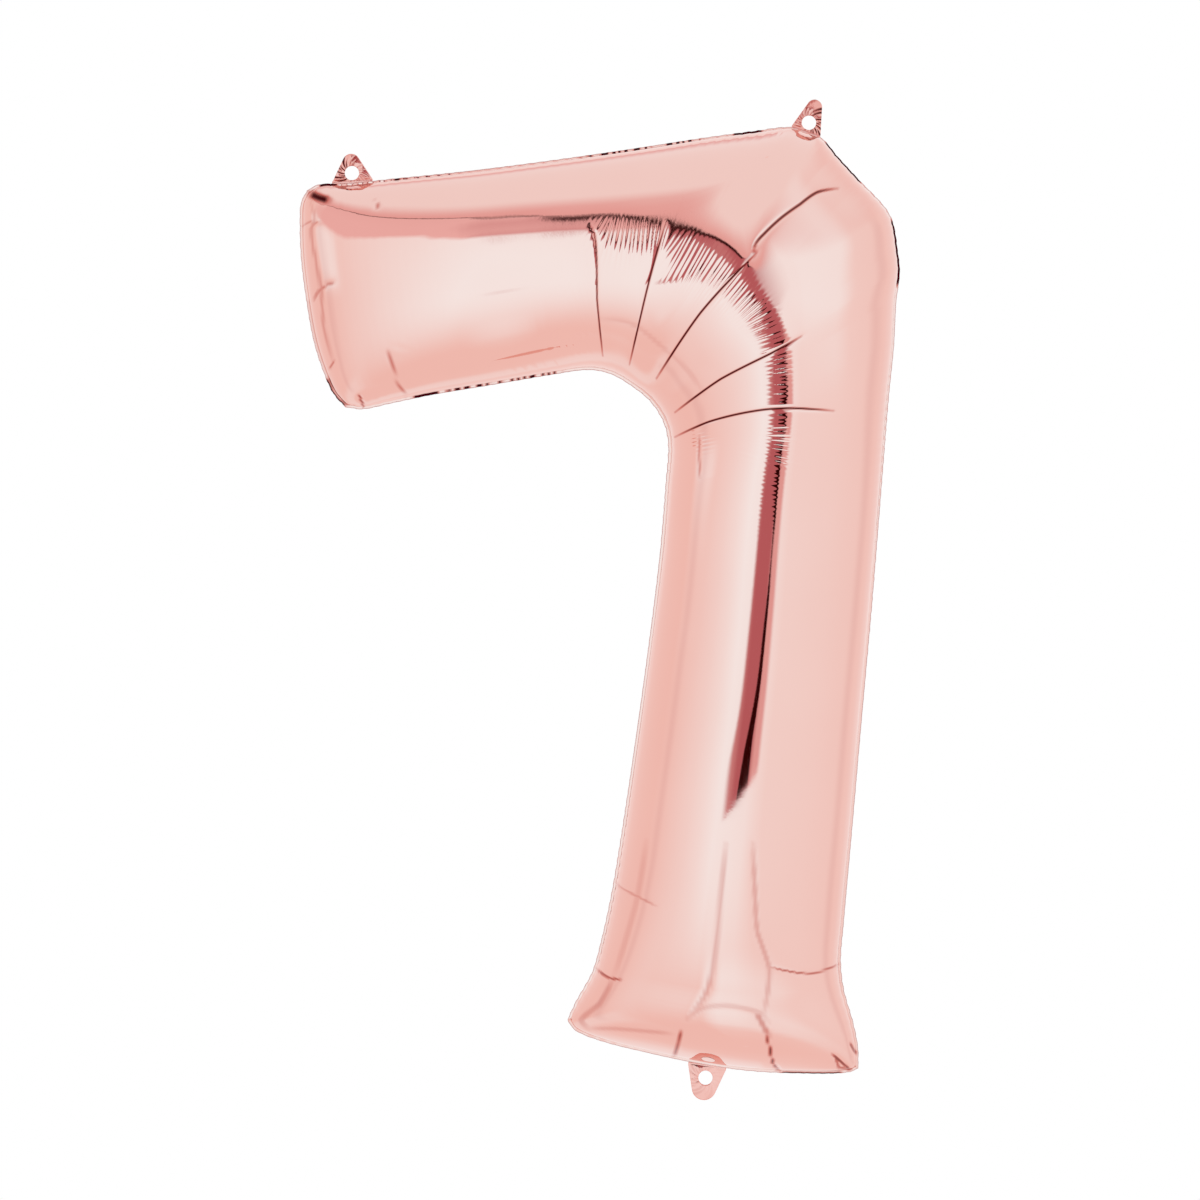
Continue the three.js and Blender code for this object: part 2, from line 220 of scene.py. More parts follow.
def eased(grid, u, v):
    """The grid with its ribs evened out inside the elbow, so that the outline's corner fades inwards."""
    even = np.apply_along_axis(smoothed, 0, grid, EASING)
    inside = smoothstep(0, 0.45, 1 - v) * smoothstep(0, 0.1, v)
    return grid + (hill(ELBOW, u)[:, None] * inside[None, :])[..., None] * (even - grid)


def cotangent(corner, p, q):
    a, b = p - corner, q - corner
    return (a * b).sum(-1) / np.abs(a[..., 0] * b[..., 1] - a[..., 1] * b[..., 0])


def triangle_area(a, b, c):
    p, q = b - a, c - a
    return np.abs(p[..., 0] * q[..., 1] - p[..., 1] * q[..., 0]) / 2


def pressure_potential(grid):
    """Solves laplacian(phi) = -1, phi = 0 on the rim, by conjugate gradients on cotangent weights."""
    n, m = grid.shape[:2]
    p00, p10, p11, p01 = grid[:-1, :-1], grid[1:, :-1], grid[1:, 1:], grid[:-1, 1:]
    ribwise = np.zeros((n - 1, m))
    rowwise = np.zeros((n, m - 1))
    diagonal = np.zeros((n - 1, m - 1))
    rowwise[1:] += cotangent(p00, p10, p11) / 2
    diagonal += cotangent(p10, p00, p11) / 2
    ribwise[:, :-1] += cotangent(p11, p00, p10) / 2
    ribwise[:, 1:] += cotangent(p00, p11, p01) / 2
    rowwise[:-1] += cotangent(p11, p00, p01) / 2
    diagonal += cotangent(p01, p00, p11) / 2
    links = (
        (ribwise, np.s_[:-1, :], np.s_[1:, :]),
        (rowwise, np.s_[:, :-1], np.s_[:, 1:]),
        (diagonal, np.s_[:-1, :-1], np.s_[1:, 1:]),
    )

    free = np.zeros((n, m), bool)
    free[1:-1, 1:-1] = True
    area = np.zeros((n, m))
    total = np.zeros((n, m))
    first = triangle_area(p00, p10, p11) / 3
    second = triangle_area(p00, p11, p01) / 3
    for part, places in (
        (first + second, np.s_[:-1, :-1]), (first, np.s_[1:, :-1]),
        (first + second, np.s_[1:, 1:]), (second, np.s_[:-1, 1:]),
    ):
        area[places] += part
    for weight, here, there in links:
        total[here] += weight
        total[there] += weight

    def stiffness(x):
        y = np.zeros_like(x)
        for weight, here, there in links:
            flow = weight * (x[there] - x[here])
            y[here] -= flow
            y[there] += flow
        return np.where(free, y, 0)

    phi = np.zeros((n, m))
    residual = np.where(free, area, 0)
    scaled = np.where(free, residual / total, 0)
    direction = scaled.copy()
    size = first_size = (residual * scaled).sum()
    while size > 1e-13 * first_size:
        image = stiffness(direction)
        step = size / (direction * image).sum()
        phi += step * direction
        residual -= step * image
        scaled = np.where(free, residual / total, 0)
        new_size = (residual * scaled).sum()
        direction = scaled + new_size / size * direction
        size = new_size
    return phi


def potential_on(u, v, coarse=(3, 2)):
    """The potential, solved on every few ribs and rows, and its values read off for all of them."""
    iu = np.unique(np.append(np.arange(0, len(u), coarse[0]), len(u) - 1))
    iv = np.arange(0, len(v), coarse[1])
    cu, cv = u[iu], v[iv]
    phi = pressure_potential(patch(inset(rim_loop(cu, cv), SEAM_WIDTH), cu, cv))
    rows = np.arccos(1 - 2 * v)
    full = np.array([np.interp(rows, rows[iv], line) for line in phi])
    return np.stack([np.interp(u, cu, column) for column in full.T], -1)


def bulge(u, v, phi):
    """Distance of the foil from the seam plane. In the crook the section is a tube whose crest leans
    outwards, because there the foil buckles instead of bulging."""
    crook = hill(CROOK, u)
    even = np.linspace(0, 1, 2001)
    crest = np.interp(u, even, smoothed(np.interp(even, u, phi.max(axis=1)), 60))
    leaning = v[None, :] ** (1 + CREST_SHIFT * crook[:, None])
    tube = crest[:, None] * 4 * leaning * (1 - leaning)
    section = phi + crook[:, None] * (tube - phi)
    taper = 1 - ARM_TAPER * (1 - smoothstep(0, ARM_TAPER_END, u))[:, None]
    taper += FOOT_FULLNESS * hill(FOOT_SWELL, u)[:, None]
    return FULLNESS * taper * np.sqrt(2 * np.maximum(section, 0))


# ---- Creases, ripples and puckers of the foil ----

# Creases, each (points, depth, width, shade). A crease is a sharp valley that fades out at both ends. Its
# bottom is darkened with painted shade: shade is how dark its colour is painted, from 0 to 1.
CREASE_CORE = 0.75  # half width of the dark bottom over the crease's width
CROOK_PLEATS = [
    ([(-178, -203), (-183, -156), (-185, -100), (-189, -93)], 0.3, 1.0, 0.95),
    ([(-155, -210), (-140, -146), (-133, -120), (-125, -93)], 0.35, 1.1, 1.0),
    ([(-132, -222), (-96, -169), (-68, -138), (-47, -117)], 0.6, 1.3, 1.0),
    ([(-116, -251), (-78, -224), (-36, -203), (-9, -188)], 0.6, 1.3, 1.0),
    ([(-116, -272), (-88, -260), (-47, -251), (-19, -249), (19, -251)], 0.6, 1.3, 1.0),
    ([(-96, -271), (-95, -308)], 0.3, 1.2, 0.4),
    ([(-180, -172), (-155, -176), (-132, -192), (-104, -218), (-92, -236)], 0.25, 2.5, 0.12),
]
# From the crook's bend to the digit's upper right corner.
CORNER_CREASE = [
    (
        [(-49, -120), (-49, -111), (-41, -101), (-25, -86), (-10, -75), (5, -64), (23, -60)],
        0.5, 1.8, 0.92,
    ),
]
FOOT_CREASES = [
    ([(-168, -654), (-164, -658), (-150, -665), (-133, -673)], 0.4, 1.3, 0.3),
    ([(-183, -730), (-173, -736), (-162, -737)], 0.7, 1.4, 0.75),
    ([(-141, -619), (-148, -663), (-152, -680), (-166, -728), (-169, -736)], 0.4, 3.4, 0.14),
    ([(-169, -736), (-181, -759), (-197, -774), (-190, -781)], 0.6, 3.4, 0.26),
    ([(-190, -781), (-166, -780), (-119, -783)], 0.4, 2.4, 0.2),
    ([(-111, -780), (-114, -791), (-116, -806)], 0.8, 1.5, 0.75),
    ([(-38, -783), (-34, -801), (-31, -812), (-24, -820)], 1.0, 1.5, 0.9),
    ([(28, -725), (9, -730), (-7, -731), (-35, -725)], 0.5, 1.1, 0.7),
    ([(19, -802), (36, -818)], 0.9, 1.6, 0.8),
    ([(22, -805), (26, -817)], 0.8, 1.6, 0.6),
    ([(35, -793), (41, -804)], 0.9, 1.6, 0.7),
    ([(24, -815), (41, -818)], 0.8, 1.6, 0.6),
]
# The foil drapes over the edges of the valve inside.
VALVE_CREASES = [
    ([(-106, -770), (-94, -761), (-77, -758), (-54, -761), (-41, -766), (-36, -773)], 0.5, 2.6, 0.18),
    ([(-73, -619), (-78, -670), (-84, -722), (-91, -749), (-106, -770)], 0.7, 3.0, 0.26),
    ([(-50, -619), (-48, -670), (-46, -696), (-36, -726), (-41, -768)], 0.6, 2.8, 0.26),
    ([(-47, -764), (-36, -785)], 0.6, 3.2, 0.4),
]
ARM_CREASES = [
    (
        [(-430, -69), (-426, -87), (-429, -92), (-425, -119), (-420, -146), (-418, -177), (-410, -207)],
        0.6, 1.8, 0.3,
    ),
    ([(-437, -90), (-432, -87), (-422, -88)], 0.7, 1.4, 0.35),
    ([(-427, -155), (-422, -146), (-407, -139)], 0.6, 1.4, 0.45),
    ([(-413, -213), (-409, -206)], 0.6, 1.4, 0.5),
    ([(-431, -61), (-423, -65), (-414, -68)], 1.6, 5.0, 1.0),
    ([(-362, -198), (-359, -209), (-354, -225), (-347, -237)], 0.6, 1.4, 0.5),
    ([(-388, -235), (-384, -246)], 0.8, 1.4, 0.8),
    ([(-415, -218), (-409, -235), (-397, -245)], 0.7, 1.4, 0.5),
    ([(-373, -68), (-370, -77)], 0.6, 1.3, 0.5),
]
CREASES = CROOK_PLEATS + CORNER_CREASE + FOOT_CREASES + VALVE_CREASES + ARM_CREASES

# Stretches where the pressed rim's colour is painted dark, a painted dark reflection, each (x, z, reach
# to either side, dashed).
PAINTED_DARK_RIM = [
    (-415, -53, 9, False), (-355, -49, 8, True), (-167, -26, 34, True), (-110, -16, 18, True),
    (-53, -9, 14, False), (30, -34, 26, False), (76, -112, 32, False), (2, -819, 29, False),
    (-264, -224, 55, True), (-331, -233, 13, False), (-406, -231, 16, False),
]

# Where the crook squeezes the foil lengthways it ripples across this line, each (x, z, height of the
# ripples, how far they reach to either side).
RIPPLE_LINE = [
    (-191, -87, 0.0, 8), (-175, -98, 0.10, 13), (-146, -103, 0.12, 13), (-124, -106, 0.05, 12),
    (-114, -113, 0.15, 16), (-91, -126, 0.17, 16), (-65, -145, 0.17, 14), (-43, -167, 0.16, 12),
    (-32, -196, 0.13, 11), (-27, -220, 0.17, 13), (-27, -239, 0.08, 9), (-27, -262, 0.07, 9),
    (-27, -276, 0.16, 18), (-30, -293, 0.17, 24), (-33, -303, 0.06, 12), (-38, -345, 0.02, 9),
    (-42, -370, 0.0, 8),
]
RIPPLE_SPACING = 3.6
INNER_REACH = 1.35  # the ripples' reach towards the inner side, over the reach given above
OUTER_REACH = 0.65  # and towards the outer side

# Other groups of ripples, each (x, z, direction of the waves in degrees, half-lengths along and across
# the waves' direction, spacing, height).
RIPPLE_GROUPS = [
    (-353, -197, 0, 9, 6, 3.4, 0.10),
    (-221, -144, 20, 14, 20, 5.2, 0.10),
    (-202, -190, 35, 12, 10, 5.2, 0.16),
    (-97, -274, 100, 9, 9, 3.4, 0.12),
]


def polyline_place(points, x, z):
    """For each (x, z): distance from the polyline, signed by side, and place along it from 0 to 1."""
    p = np.array(points, float)[:, :2]
    steps = np.diff(p, axis=0)
    lengths = np.hypot(*steps.T)
    starts = np.concatenate([[0], np.cumsum(lengths)])
    best = np.full(x.shape, np.inf)
    side, place = np.zeros(x.shape), np.zeros(x.shape)
    for a, d, length, start in zip(p, steps / lengths[:, None], lengths, starts):
        ahead = np.clip((x - a[0]) * d[0] + (z - a[1]) * d[1], 0, length)
        dx, dz = x - a[0] - ahead * d[0], z - a[1] - ahead * d[1]
        distance = np.hypot(dx, dz)
        nearer = distance < best
        best = np.where(nearer, distance, best)
        side = np.where(nearer, np.sign(d[0] * dz - d[1] * dx), side)
        place = np.where(nearer, (start + ahead) / starts[-1], place)
    return side * best, place, starts


def crease_relief(x, z):
    """Depth of the creases, and the painted shade of their bottoms."""
    total, shaded = np.zeros(x.shape), np.zeros(x.shape)
    for points, depth, width, shade in CREASES:
        distance, place, _ = polyline_place(smooth_curve(points, 8), x, z)
        fade = np.sqrt(np.clip(2 * np.sin(np.pi * np.clip(place, 0.02, 0.98)), 0, 1))
        total += depth * fade * np.exp(-np.abs(distance) / width)
        core = np.abs(distance / (CREASE_CORE * width))
        # Painted shade along the crease's bottom.
        shaded = np.maximum(shaded, shade * fade * np.exp(-(core**4)))
    return total, shaded


def rim_shade(ring, s):
    """Painted dark reflection of the rim's points at places s along it."""
    shaded = np.zeros(len(ring))
    dashes = smoothstep(-0.2, 0.2, np.sin(s * 0.9 + 2 * np.sin(s * 0.23)))
    for x, z, reach, dashed in PAINTED_DARK_RIM:
        near = 1 - smoothstep(0.8 * reach, reach, np.hypot(ring[:, 0] - x, ring[:, 1] - z))
        shaded = np.maximum(shaded, near * (dashes if dashed else 1))
    return shaded


def ripple_height(x, z, phase):
    """Height of the crook's ripples: sharp valleys between round ridges, unevenly spaced."""
    steps = 8
    curve = smooth_curve([p[:2] for p in RIPPLE_LINE], steps)
    distance, place, starts = polyline_place(curve, x, z)
    stations = np.arange(len(RIPPLE_LINE)) * steps
    height = np.interp(place * starts[-1], starts[stations], [p[2] for p in RIPPLE_LINE])
    reach = np.interp(place * starts[-1], starts[stations], [p[3] for p in RIPPLE_LINE])
    s = place * starts[-1] * 2 * np.pi / RIPPLE_SPACING + phase
    s = s + 0.9 * np.sin(s * 0.171) + 0.6 * np.sin(s * 0.413 + 1)
    uneven = 0.75 + 0.25 * np.sin(s * 0.37 + phase)
    wave = 1 - 2 * np.abs(np.sin(s / 2)) ** 1.3
    stretch = np.where(distance < 0, INNER_REACH, OUTER_REACH)
    return height * uneven * wave * np.exp(-((distance / reach / stretch) ** 2))


def group_ripples(x, z):
    """Height of the other groups of ripples."""
    total = np.zeros(x.shape)
    for cx, cz, angle, half_along, half_across, spacing, height in RIPPLE_GROUPS:
        c, s = math.cos(math.radians(angle)), math.sin(math.radians(angle))
        a, b = (x - cx) * c + (z - cz) * s, -(x - cx) * s + (z - cz) * c
        wave = np.cos(2 * np.pi * a / spacing + 0.8 * np.sin(a / 5))
        total += height * wave * np.exp(-((a / half_along) ** 2) - (b / half_across) ** 2)
    return total


def rim_puckers(s, phase):
    """Small waves that the seal gathers round the rim, at places s in millimetres along it."""
    slow = 0.6 + 0.4 * np.sin(s / 37 + phase) * np.sin(s / 91 + 1)
    coarse = np.sin(2 * np.pi * s / 9.3 + 1.3 * np.sin(s / 23) + phase)
    return slow * (coarse + 0.4 * np.sin(2 * np.pi * s / 4.1))


def slow_waves(x, z, phase):
    """The foil's gentle unevenness."""
    return (
        0.10 * np.sin(x / 21 + z / 47 + phase)
        + 0.07 * np.sin(x / 33 - z / 19 + 2 * phase + 1)
        + 0.05 * np.sin(x / 13 + z / 61 + 3 * phase + 2)
    )


# ---- Skins ----

DETAIL_HEIGHT = 12  # height of the bulge where creases and ripples have their full depth
PUCKER_HEIGHT = 0.22  # of the rim's puckers
PUCKER_RISE = 3  # height of the bulge where they are full
PUCKER_REACH = 5  # how far in from the rim they carry
SHADE_RISE = 3  # how far up the bulge the rim's shade reaches
RIM_WAVER = 0.25  # how far the rim's edge wavers in the seam plane
RIM_SWAY = 0.3  # and across it


def grid_normals(points):
    """Unit normals of a grid of 3D points, towards -Y."""
    normal = np.cross(np.gradient(points, axis=0), np.gradient(points, axis=1))
    normal /= np.maximum(np.linalg.norm(normal, axis=-1, keepdims=True), 1e-12)
    return normal * np.where(normal[normal.shape[0] // 2, normal.shape[1] // 2, 1] > 0, -1, 1)


def skin_points(phase, side):
    """Vertices of one skin, drawn in front of the seam plane: the bulged grid, then the rim loop. Also
    their painted shades, and the line along which the two skins meet."""
    u, v = grid_shares()
    rim = rim_loop(u, v)
    flat = eased(patch(inset(rim, SEAM_WIDTH), u, v), u, v)
    x, z = flat[..., 0], flat[..., 1]
    height = bulge(u, v, potential_on(u, v))
    smooth = np.stack([x, -SEAM_HALF - height, z], -1)
    normals = grid_normals(smooth)

    creases, shade = crease_relief(x, z)
    detail = ripple_height(x, z, phase) + group_ripples(x, z) + slow_waves(x, z, phase) - creases

    places = border_places(len(u), len(v))
    s = np.cumsum(np.hypot(*(np.roll(rim, -1, axis=0) - rim).T))
    rim_shades = rim_shade(rim, s)
    reach = np.minimum(v, 1 - v)[None, :] * np.hypot(*(flat[:, -1] - flat[:, 0]).T)[:, None]

    def spread_inwards(values):
        """The values of the long sides' rim, carried across the stroke to its middle."""
        sides = np.zeros((2, len(u)))
        for row, side_places in enumerate((places[:, 1] == 0, places[:, 1] == len(v) - 1)):
            sides[row, places[side_places, 0]] = values[side_places]
        return np.where(v[None, :] > 0.5, sides[1][:, None], sides[0][:, None])

    # The rim's painted dark reflection carries a little way up the bulge, as far as SHADE_RISE.
    shade = np.maximum(shade, spread_inwards(rim_shades) * np.exp(-((height / SHADE_RISE) ** 2)))
    spread = spread_inwards(rim_puckers(s, phase)) * np.exp(-reach / PUCKER_REACH)
    puckers = PUCKER_HEIGHT * spread * np.minimum(height / PUCKER_RISE, 1)
    depth = np.minimum(height / DETAIL_HEIGHT, 1)
    points = smooth + normals * (depth * detail + puckers)[..., None]

    # The sealed rim sways to both sides as one.
    outwards = -np.stack([loop_tangents(rim)[:, 1], -loop_tangents(rim)[:, 0]], -1)
    meeting = rim + RIM_WAVER * outwards * rim_puckers(s, 0)[:, None]
    sway = RIM_SWAY * rim_puckers(s, 0)
    seam = np.stack([meeting[:, 0], sway, meeting[:, 1]], -1)
    ring = seam * (1, -side, 1) - (0, RIM_HALF, 0)
    points[places[:, 0], places[:, 1], 1] -= SEAM_SWAY * side * sway
    return points, ring, np.append(shade, rim_shades), seam


def skin_faces(n, m):
    ids = np.arange(n * m).reshape(n, m)
    quads = np.stack([ids[:-1, :-1], ids[1:, :-1], ids[1:, 1:], ids[:-1, 1:]], -1).reshape(-1, 4)
    places = border_places(n, m)
    seal = ids[places[:, 0], places[:, 1]]
    ring = n * m + np.arange(len(seal))
    strip = np.stack([seal, ring, np.roll(ring, -1), np.roll(seal, -1)], -1)
    return np.vstack([quads, strip])


def mesh_object(name, vertices, faces, material, smooth=True):
    """A mesh in metres from vertices in millimetres."""
    mesh = bpy.data.meshes.new(name)
    corners = [list(map(int, face)) for face in faces]
    mesh.from_pydata((np.asarray(vertices, float) * MM).tolist(), [], corners)
    mesh.polygons.foreach_set("use_smooth", [smooth] * len(mesh.polygons))
    mesh.materials.append(material)
    mesh.validate()
    mesh.update()
    piece = bpy.data.objects.new(name, mesh)
    bpy.context.scene.collection.objects.link(piece)
    return piece


def set_shade(piece, shade):
    attribute = piece.data.attributes.new("shade", "FLOAT", "POINT")
    attribute.data.foreach_set("value", np.asarray(shade, np.float32))


def skin(name, side, phase, material):
    """One foil sheet. side is -1 for the front and 1 for the back."""
    grid, ring, shade, seam = skin_points(phase, side)
    n, m = grid.shape[:2]
    vertices = np.vstack([grid.reshape(-1, 3), ring])
    faces = skin_faces(n, m)
    if side > 0:
        vertices = vertices * (1, -1, 1)
        faces = faces[:, ::-1]
    piece = mesh_object(name, vertices, faces, material)
    set_shade(piece, shade)
    # The bulge meets the pressed rim at a sharp line.
    sealed = np.zeros(len(vertices), bool)
    places = border_places(n, m)
    sealed[places[:, 0] * m + places[:, 1]] = True
    ends = np.empty(2 * len(piece.data.edges), np.int32)
    piece.data.edges.foreach_get("vertices", ends)
    sharp = piece.data.attributes.new("sharp_edge", "BOOLEAN", "EDGE")
    sharp.data.foreach_set("value", sealed[ends.reshape(-1, 2)].all(axis=1))
    return piece, seam, shade[n * m :]


def edge_bead(name, seam, shade, material):
    """The fused edge that shows between the two sheets, as a thin flattened bead along the rim."""
    sides = 8
    half_width, half_depth = 0.45, RIM_HALF + 0.05
    t = loop_tangents(seam[:, [0, 2]])
    outwards = -np.stack([t[:, 1], np.zeros(len(t)), -t[:, 0]], -1)
    circle = [
        seam + half_width * math.cos(a) * outwards + half_depth * math.sin(a) * np.array([0, 1, 0])
        for a in np.linspace(0, 2 * math.pi, sides, endpoint=False)
    ]
    count = len(seam)
    i = np.arange(count)
    j = np.roll(i, -1)
    faces = []
    for k in range(sides):
        here, there = k * count, (k + 1) % sides * count
        faces.append(np.stack([here + i, here + j, there + j, there + i], -1))
    piece = mesh_object(name, np.vstack(circle), np.vstack(faces), material)
    # The bead takes the rim's painted dark reflection.
    set_shade(piece, np.tile(shade, sides))
    return piece


# ---- Materials ----


def add_node(tree, kind, inputs=(), **settings):
    node = tree.nodes.new(kind)
    for key, value in settings.items():
        setattr(node, key, value)
    for key, value in dict(inputs).items():
        if isinstance(value, bpy.types.NodeSocket):
            tree.links.new(value, node.inputs[key])
        else:
            node.inputs[key].default_value = value
    return node


# Colours of painted shade, at half and at full shade, mixed into a shaded surface's base colour.
PAINTED_SHADE_ROSE = (0.62, 0.20, 0.165)
PAINTED_SHADE_BLACK = (0.05, 0.0, 0.002)


def procedural(name, low, high, scale, roughness, bump, metallic=0.0, shaded=False, **sockets):
    """A surface whose colour wanders from low to high, with its own roughness range and fine relief.

    roughness is (least, most); bump is (size of the grain, depth) in metres. A shaded surface gets
    painted shade: its colour darkens where its mesh's shade attribute says so.
    """
    material = bpy.data.materials.new(name)
    material.use_nodes = True
    tree = material.node_tree
    shader = tree.nodes["Principled BSDF"]
    place = add_node(tree, "ShaderNodeTexCoord").outputs["Object"]
    patches = add_node(tree, "ShaderNodeTexNoise", {"Vector": place, "Scale": scale, "Detail": 3.0})
    colour = add_node(tree, "ShaderNodeMix", {"Factor": patches.outputs["Fac"]}, data_type="RGBA")
    colour.inputs[6].default_value = (*low, 1)
    colour.inputs[7].default_value = (*high, 1)
    smudges = add_node(
        tree, "ShaderNodeTexNoise", {"Vector": place, "Scale": scale * 2.7, "Detail": 5.0}
    )
    gloss = add_node(
        tree, "ShaderNodeMapRange",
        {"Value": smudges.outputs["Fac"], "From Min": 0.3, "From Max": 0.7,
         "To Min": roughness[0], "To Max": roughness[1]},
    )
    grain = add_node(tree, "ShaderNodeTexNoise", {"Vector": place, "Scale": 1 / bump[0], "Detail": 2.0})
    relief = add_node(
        tree, "ShaderNodeBump", {"Height": grain.outputs["Fac"], "Distance": bump[1], "Strength": 1.0}
    )
    # Painted shade: the base colour is mixed towards the painted shade colours by the mesh's shade.
    if shaded:
        shade = add_node(tree, "ShaderNodeAttribute", attribute_name="shade")
        for start, tone in ((0.0, PAINTED_SHADE_ROSE), (0.5, PAINTED_SHADE_BLACK)):
            share = add_node(
                tree, "ShaderNodeMapRange",
                {"Value": shade.outputs["Fac"], "From Min": start, "From Max": start + 0.5},
            )
            darkened = add_node(
                tree, "ShaderNodeMix", {"Factor": share.outputs["Result"]}, data_type="RGBA"
            )
            tree.links.new(colour.outputs[2], darkened.inputs[6])
            darkened.inputs[7].default_value = (*tone, 1)
            colour = darkened
    tree.links.new(colour.outputs[2], shader.inputs["Base Color"])
    tree.links.new(gloss.outputs["Result"], shader.inputs["Roughness"])
    tree.links.new(relief.outputs["Normal"], shader.inputs["Normal"])
    shader.inputs["Metallic"].default_value = metallic
    for key, value in sockets.items():
        shader.inputs[key.replace("_", " ")].default_value = value
    return material


foil = procedural(
    "rose_gold_foil", (0.86, 0.515, 0.455), (0.88, 0.54, 0.48), 9, (0.02, 0.045), (0.0018, 0.000004),
    metallic=1.0, shaded=True,
)
# The tabs' foil is a darker, redder copy of the sheets' foil: painted shade for the tabs' darker look.
tab_foil = procedural(
    "rose_gold_tab_foil", (0.86, 0.41, 0.35), (0.90, 0.46, 0.40), 60, (0.09, 0.16), (0.0012, 0.00002),
    metallic=1.0, shaded=True,
)
sealed_edge = procedural(
    "fused_edge", (0.62, 0.33, 0.30), (0.74, 0.43, 0.39), 120, (0.2, 0.35), (0.0008, 0.00003),
    metallic=0.85, shaded=True,
)
clear_film = procedural(
    "clear_valve_film", (0.88, 0.91, 0.92), (0.94, 0.96, 0.97), 40, (0.18, 0.34), (0.002, 0.00002),
    Transmission_Weight=0.6, IOR=1.5,
)
release_ink = procedural(
    "release_ink", (0.88, 0.88, 0.85), (0.95, 0.95, 0.93), 300, (0.5, 0.75), (0.0006, 0.00003)
)

# ---- The foil sheets ----

front, seam, seam_shade = skin("foil_front", -1, 0.0, foil)
back, _, _ = skin("foil_back", 1, 2.1, foil)
edge = edge_bead("foil_edge_bead", seam, seam_shade, sealed_edge)
for piece, nodes, slot in (
    (front, ["front_foil_sheet"], "rose_gold_foil"),
    (back, ["back_foil_sheet"], "rose_gold_foil"),
    (edge, ["edge_weld"], "fused_sealant"),
):
    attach(piece, "envelope")
    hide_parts(*nodes)

# ---- Tabs, tail and valve ----

# Hinge lines of the loose parts: [x, z] of the middle and the turn of the line in degrees. Places on a
# part are [across, out], measured along its hinge line and away from the digit.
UPPER_LEFT = (-394.084, -50.103, 4.0)
UPPER_RIGHT = (-2.337, -6.599, -19.5)
TAIL = (-87.977, -814.987, 171.5)

# Distance of the punched holes' centres from the hinge lines.
UPPER_LEFT_HOLE = 6.7
UPPER_RIGHT_HOLE = 7.0
TAIL_HOLE = 9.4
HOLE_RADIUS = 6.2

PLY = 0.3  # thickness of a tab's ply
EDGE_ROLL = 0.12  # how much thinner a ply is at its edges
TAB_ROOT = 1.9  # how far a tab reaches inwards from its hinge line, between the two sheets
WELD_WIDTH = 1.6  # of the fused border between the plies
STREAK_DEPTH = 0.5  # of the fine folds that run out from a hole
# Folds of crumpled foil: each (direction in degrees, distance from the hinge line's middle, slope).
FOLDS = [
    (12, 4.1, 1.0), (48, 9.3, -0.8), (74, 15.5, 0.9), (97, 11.9, -0.7), (118, 7.2, 0.8),
    (139, 2.6, -1.0), (163, -5.7, 0.9), (31, -3.2, -0.7), (104, 20.0, 0.8), (178, 8.4, -0.8),
    (66, 5.0, 0.6), (20, -9.0, 0.9),
]


def placed(hinge, flat):
    """[x, z] of the [across, out] places of a part."""
    x, z, turn = hinge
    across, out = flat[..., 0], flat[..., 1]
    c, s = math.cos(math.radians(turn)), math.sin(math.radians(turn))
    return np.stack([x + across * c - out * s, z + across * s + out * c], -1)


def crumple(flat, amount):
    """Height of the folds, which start just past the hinge line. amount scales their slopes."""
    total = np.zeros(flat.shape[:-1])
    for angle, distance, slope in FOLDS:
        c, s = math.cos(math.radians(angle)), math.sin(math.radians(angle))
        total += slope * np.abs(flat[..., 0] * c + flat[..., 1] * s - distance)
    return amount * (total - 6) * smoothstep(-0.3, 2.5, flat[..., 1])


def pinch(out, half):
    """Share of their distance from the middle plane that plies of the given half thickness keep where
    the rim clamps them."""
    clamped = RIM_HALF / half
    free = np.maximum(smoothstep(-1, 2.5, out), 1 - smoothstep(-6, -3, out))
    return clamped + (1 - clamped) * free


def streaks(flat, hole, least, most, side):
    """Painted shade of the fine folds that run out from the hole, from least to most; least darkens the
    whole part. The painted shade is deepest on the given side: -1 is the left, 1 the right."""
    angle = np.arctan2(flat[..., 1] - hole, flat[..., 0])
    reach = np.hypot(flat[..., 0], flat[..., 1] - hole)
    fine = np.sin(17 * angle + 3 * np.sin(2 * angle) + 0.7 * reach)
    coarse = np.sin(5 * angle + 0.4 * reach + 1.3)
    weight = 0.3 + 0.7 * smoothstep(-8, 8, side * flat[..., 0])
    folds = weight * smoothstep(0.0, 0.3, fine * coarse) * smoothstep(-1.5, 0.5, flat[..., 1])
    return least + (most - least) * folds


def tab_outline(half_base, tip, radius):
    """A broad base drawn in to a round tip centred tip beyond the hinge line."""
    lean = math.atan2(-tip, half_base) + math.acos(radius / math.hypot(half_base, tip))
    turns = np.linspace(lean, math.pi - lean, 40)
    arc = np.stack([radius * np.cos(turns), tip + radius * np.sin(turns)], -1)
    right = [(half_base, -TAB_ROOT), (half_base, 0)]
    left = [(-half_base, 0), (-half_base, -TAB_ROOT)]
    return np.vstack([right, arc, left, right[:1]])


def rounded_strip(half_width, start, end, corner):
    """A strip from start to end, measured outwards, with round corners at its far end."""
    turns = np.linspace(0, math.pi / 2, 12)
    right = half_width - corner + corner * np.cos(turns)
    arc = np.stack([right, end - corner + corner * np.sin(turns)], -1)
    near_right, near_left = (half_width, start), (-half_width, start)
    return np.vstack([[near_right], arc, arc[::-1] * (-1, 1), [near_left, near_right]])


def punched(outline, hole, angles=168, layers=14):
    """A grid [layer, angle] from the edge of a round hole, hole beyond the hinge line, to the outline."""
    outer = along(outline, np.arange(angles) / angles)
    centre = np.array([0, hole])
    direction = (outer - centre) / np.hypot(*(outer - centre).T)[:, None]
    inner = centre + HOLE_RADIUS * direction
    share = np.linspace(0, 1, layers)[:, None, None]
    return inner + share * (outer - inner)


